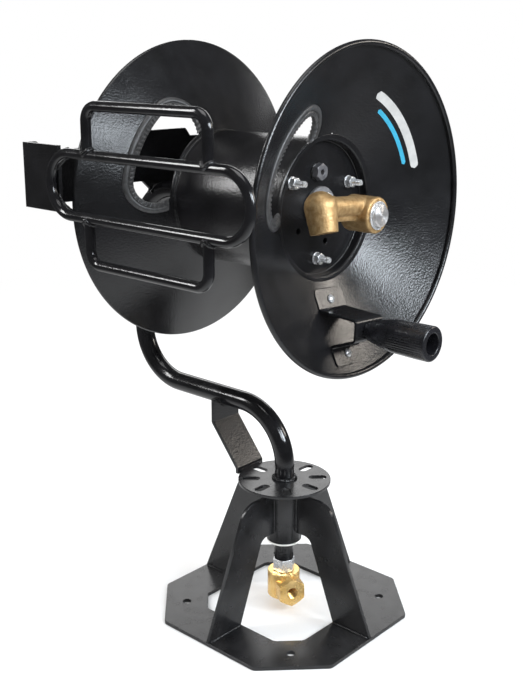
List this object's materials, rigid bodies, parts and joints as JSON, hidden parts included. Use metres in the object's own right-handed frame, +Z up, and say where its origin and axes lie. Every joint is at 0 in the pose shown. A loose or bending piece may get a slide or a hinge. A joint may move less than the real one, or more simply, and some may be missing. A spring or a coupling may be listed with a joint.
{
  "type": "hose reel",
  "caption": "Hand-cranked reel for a pressure hose: drum with dished flanges on a bent swivel pipe over a four-finned pedestal, with a rod hose guide, brass water swivels and a crank grip.",
  "frame": {"origin": "floor level, at the bottom centre of the box round the whole reel; the swivel axis is at x 0.0297, y 0.0166", "axes": "+Z up; the drum turns on an axis parallel to X with the crank on +X; the hose guide stands on -Y"},
  "size_m": [0.5284, 0.439, 0.7706],
  "materials": {
    "black_coat": "glossy black powder coat with a fine orange peel",
    "zinc": "bright zinc plating",
    "cast_brass": "satin cast brass",
    "machined_brass": "bright machined brass",
    "trim_rubber": "ribbed dark grey rubber",
    "seal_rubber": "smooth black rubber",
    "nylon": "natural white nylon",
    "bearing_plastic": "grey acetal",
    "grip_plastic": "satin black plastic with fine lengthwise grooves"
  },
  "bodies": {
    "pedestal": {"base_plate": "black_coat", "fin_right": "black_coat", "fin_back": "black_coat", "fin_left": "black_coat", "fin_front": "black_coat", "pivot_sleeve": "black_coat", "bush_upper": "nylon", "bush_lower": "nylon"},
    "swivel_frame": {"swivel_pipe": "black_coat", "index_plate": "black_coat", "brace_strap": "black_coat", "guide_arm": "black_coat", "guide_loop": "black_coat", "guide_hoop_upper": "black_coat", "guide_hoop_lower": "black_coat", "spindle": "zinc", "collar_right": "zinc", "collar_left": "zinc", "outlet_seal_inner": "seal_rubber", "outlet_seal_outer": "seal_rubber", "snap_ring": "zinc", "inlet_stem": "zinc", "inlet_seal": "seal_rubber"},
    "inlet": {"inlet_elbow": "machined_brass"},
    "drum": {"drum_core": "black_coat", "flange_right": "black_coat", "flange_left": "black_coat", "port_trim_right": "trim_rubber", "port_trim_left": "trim_rubber", "hub_plate_right": "black_coat", "hub_plate_left": "black_coat", "hub_bearing_right": "bearing_plastic", "hub_bearing_left": "bearing_plastic", "tie_bolt_1": "zinc", "tie_nut_1": "zinc", "tie_bolt_2": "zinc", "tie_nut_2": "zinc", "tie_bolt_3": "zinc", "tie_nut_3": "zinc", "tie_washer_1": "zinc", "tie_washer_2": "zinc", "tie_washer_3": "zinc", "hub_boss": "black_coat", "outlet_manifold": "cast_brass", "outlet_elbow": "cast_brass", "crank_bracket": "black_coat", "crank_screw_1": "zinc", "crank_nut_1": "zinc", "crank_screw_2": "zinc", "crank_nut_2": "zinc", "grip_bolt": "zinc", "grip_nut": "zinc"},
    "grip": {"crank_grip": "grip_plastic"}
  },
  "joints": [
    {"name": "reel_swivel", "type": "hinge", "parent": "pedestal", "child": "swivel_frame", "pos_m": [0.02967, 0.01657, 0.15], "axis": [0, 0, 1], "continuous": true},
    {"name": "inlet_swivel", "type": "hinge", "parent": "swivel_frame", "child": "inlet", "pos_m": [0.02967, 0.01657, 0.03], "axis": [0, 0, 1], "continuous": true},
    {"name": "drum_spin", "type": "hinge", "parent": "swivel_frame", "child": "drum", "pos_m": [0.02967, 0.01657, 0.568], "axis": [1, 0, 0], "continuous": true},
    {"name": "grip_spin", "type": "hinge", "parent": "drum", "child": "grip", "pos_m": [0.21967, 0.00679, 0.42814], "axis": [1, 0, 0], "continuous": true}
  ]
}
